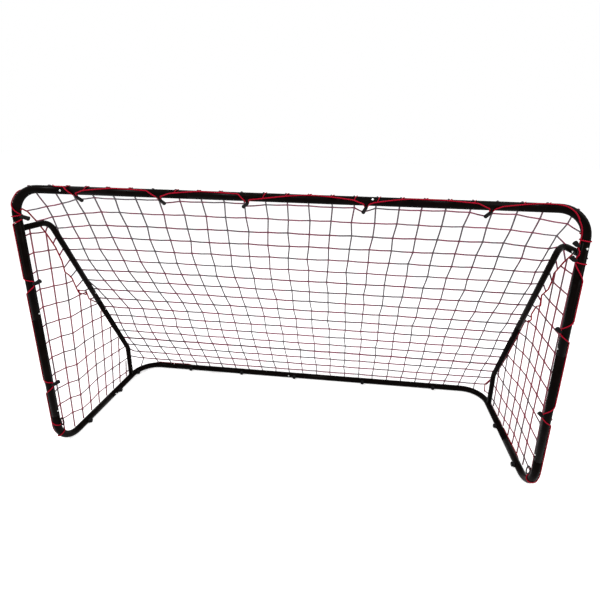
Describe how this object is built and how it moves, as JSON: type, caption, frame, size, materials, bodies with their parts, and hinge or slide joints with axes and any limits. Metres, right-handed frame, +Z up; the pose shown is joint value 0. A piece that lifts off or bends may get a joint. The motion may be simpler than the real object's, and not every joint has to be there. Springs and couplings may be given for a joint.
{
  "type": "sports goal",
  "caption": "Small sports goal on the ground: a sectional frame of bent steel tube held by spring buttons, with a net tied to a rope on plastic hooks.",
  "frame": {"origin": "on the ground, under the middle of the whole goal's bounding box", "axes": "+X from the left post to the right post seen from the mouth, +Y back from the mouth to the rear bar, +Z up"},
  "size_m": [2.1455, 0.777, 1.2218],
  "materials": {
    "frame": "satin powder coat",
    "button": "zinc plated",
    "hook": "moulded",
    "rope": "braided polyester",
    "twine": "knotted twine"
  },
  "bodies": {
    "frame": {"crossbar_left": "frame", "crossbar_middle": "frame", "crossbar_right": "frame", "rear_bar_left": "frame", "rear_bar_right": "frame", "top_corner_left": "frame", "upper_post_left": "frame", "lower_post_left": "frame", "bottom_corner_left": "frame", "rear_corner_left": "frame", "upper_stay_left": "frame", "lower_stay_left": "frame", "stay_sleeve_left": "frame", "top_corner_right": "frame", "upper_post_right": "frame", "lower_post_right": "frame", "bottom_corner_right": "frame", "rear_corner_right": "frame", "upper_stay_right": "frame", "lower_stay_right": "frame", "stay_sleeve_right": "frame", "crossbar_hook_1": "hook", "crossbar_hook_2": "hook", "crossbar_hook_3": "hook", "crossbar_hook_4": "hook", "crossbar_hook_5": "hook", "rear_bar_hook_1": "hook", "rear_bar_hook_2": "hook", "rear_bar_hook_3": "hook", "rear_bar_hook_4": "hook", "rear_bar_hook_5": "hook", "border_rope": "rope", "seam_cord_left": "rope", "seam_cord_right": "rope", "back_net": "twine", "side_net_left": "twine", "side_net_right": "twine"},
    "button_crossbar_outer_left": {"button_crossbar_outer_left": "button"},
    "button_crossbar_outer_right": {"button_crossbar_outer_right": "button"},
    "button_crossbar_inner_left": {"button_crossbar_inner_left": "button"},
    "button_crossbar_inner_right": {"button_crossbar_inner_right": "button"},
    "button_rear_outer_left": {"button_rear_outer_left": "button"},
    "button_rear_outer_right": {"button_rear_outer_right": "button"},
    "button_rear_middle": {"button_rear_middle": "button"},
    "button_post_top_left": {"button_post_top_left": "button"},
    "button_post_top_right": {"button_post_top_right": "button"},
    "button_post_middle_left": {"button_post_middle_left": "button"},
    "button_post_middle_right": {"button_post_middle_right": "button"},
    "button_post_foot_left": {"button_post_foot_left": "button"},
    "button_post_foot_right": {"button_post_foot_right": "button"},
    "button_ground_bar_left": {"button_ground_bar_left": "button"},
    "button_ground_bar_right": {"button_ground_bar_right": "button"},
    "button_stay_top_left": {"button_stay_top_left": "button"},
    "button_stay_top_right": {"button_stay_top_right": "button"},
    "button_stay_foot_left": {"button_stay_foot_left": "button"},
    "button_stay_foot_right": {"button_stay_foot_right": "button"},
    "button_sleeve_upper_left": {"button_sleeve_upper_left": "button"},
    "button_sleeve_upper_right": {"button_sleeve_upper_right": "button"},
    "button_sleeve_lower_left": {"button_sleeve_lower_left": "button"},
    "button_sleeve_lower_right": {"button_sleeve_lower_right": "button"}
  },
  "joints": [
    {"name": "press_crossbar_outer_left", "type": "slide", "parent": "frame", "child": "button_crossbar_outer_left", "axis": [0, 1, 0], "range_m": [0, 0.004], "stiffness_N_per_m": 800},
    {"name": "press_crossbar_outer_right", "type": "slide", "parent": "frame", "child": "button_crossbar_outer_right", "axis": [0, -0.7071, 0.7071], "range_m": [0, 0.004], "stiffness_N_per_m": 800},
    {"name": "press_crossbar_inner_left", "type": "slide", "parent": "frame", "child": "button_crossbar_inner_left", "axis": [0, -0.7071, 0.7071], "range_m": [0, 0.004], "stiffness_N_per_m": 800},
    {"name": "press_crossbar_inner_right", "type": "slide", "parent": "frame", "child": "button_crossbar_inner_right", "axis": [0, 0.8387, -0.5446], "range_m": [0, 0.004], "stiffness_N_per_m": 800},
    {"name": "press_rear_outer_left", "type": "slide", "parent": "frame", "child": "button_rear_outer_left", "axis": [0, 0, -1], "range_m": [0, 0.004], "stiffness_N_per_m": 800},
    {"name": "press_rear_outer_right", "type": "slide", "parent": "frame", "child": "button_rear_outer_right", "axis": [0, -0.766, -0.6428], "range_m": [0, 0.004], "stiffness_N_per_m": 800},
    {"name": "press_rear_middle", "type": "slide", "parent": "frame", "child": "button_rear_middle", "axis": [0, 0.9744, -0.225], "range_m": [0, 0.004], "stiffness_N_per_m": 800},
    {"name": "press_post_top_left", "type": "slide", "parent": "frame", "child": "button_post_top_left", "axis": [0, 1, 0], "range_m": [0, 0.004], "stiffness_N_per_m": 800},
    {"name": "press_post_top_right", "type": "slide", "parent": "frame", "child": "button_post_top_right", "axis": [-0.2588, 0.9659, 0], "range_m": [0, 0.004], "stiffness_N_per_m": 800},
    {"name": "press_post_middle_left", "type": "slide", "parent": "frame", "child": "button_post_middle_left", "axis": [-1, 0, 0], "range_m": [0, 0.004], "stiffness_N_per_m": 800},
    {"name": "press_post_middle_right", "type": "slide", "parent": "frame", "child": "button_post_middle_right", "axis": [1, 0, 0], "range_m": [0, 0.004], "stiffness_N_per_m": 800},
    {"name": "press_post_foot_left", "type": "slide", "parent": "frame", "child": "button_post_foot_left", "axis": [-1, 0, 0], "range_m": [0, 0.004], "stiffness_N_per_m": 800},
    {"name": "press_post_foot_right", "type": "slide", "parent": "frame", "child": "button_post_foot_right", "axis": [1, 0, 0], "range_m": [0, 0.004], "stiffness_N_per_m": 800},
    {"name": "press_ground_bar_left", "type": "slide", "parent": "frame", "child": "button_ground_bar_left", "axis": [-1, 0, 0], "range_m": [0, 0.004], "stiffness_N_per_m": 800},
    {"name": "press_ground_bar_right", "type": "slide", "parent": "frame", "child": "button_ground_bar_right", "axis": [-0.8829, 0, -0.4695], "range_m": [0, 0.004], "stiffness_N_per_m": 800},
    {"name": "press_stay_top_left", "type": "slide", "parent": "frame", "child": "button_stay_top_left", "axis": [1, 0, 0], "range_m": [0, 0.0038], "stiffness_N_per_m": 800},
    {"name": "press_stay_top_right", "type": "slide", "parent": "frame", "child": "button_stay_top_right", "axis": [1, 0, 0], "range_m": [0, 0.0038], "stiffness_N_per_m": 800},
    {"name": "press_stay_foot_left", "type": "slide", "parent": "frame", "child": "button_stay_foot_left", "axis": [-1, 0, 0], "range_m": [0, 0.0038], "stiffness_N_per_m": 800},
    {"name": "press_stay_foot_right", "type": "slide", "parent": "frame", "child": "button_stay_foot_right", "axis": [-1, 0, 0], "range_m": [0, 0.0038], "stiffness_N_per_m": 800},
    {"name": "press_sleeve_upper_left", "type": "slide", "parent": "frame", "child": "button_sleeve_upper_left", "axis": [-1, 0, 0], "range_m": [0, 0.0038], "stiffness_N_per_m": 800},
    {"name": "press_sleeve_upper_right", "type": "slide", "parent": "frame", "child": "button_sleeve_upper_right", "axis": [1, 0, 0], "range_m": [0, 0.0038], "stiffness_N_per_m": 800},
    {"name": "press_sleeve_lower_left", "type": "slide", "parent": "frame", "child": "button_sleeve_lower_left", "axis": [-1, 0, 0], "range_m": [0, 0.0038], "stiffness_N_per_m": 800},
    {"name": "press_sleeve_lower_right", "type": "slide", "parent": "frame", "child": "button_sleeve_lower_right", "axis": [1, 0, 0], "range_m": [0, 0.0038], "stiffness_N_per_m": 800}
  ]
}
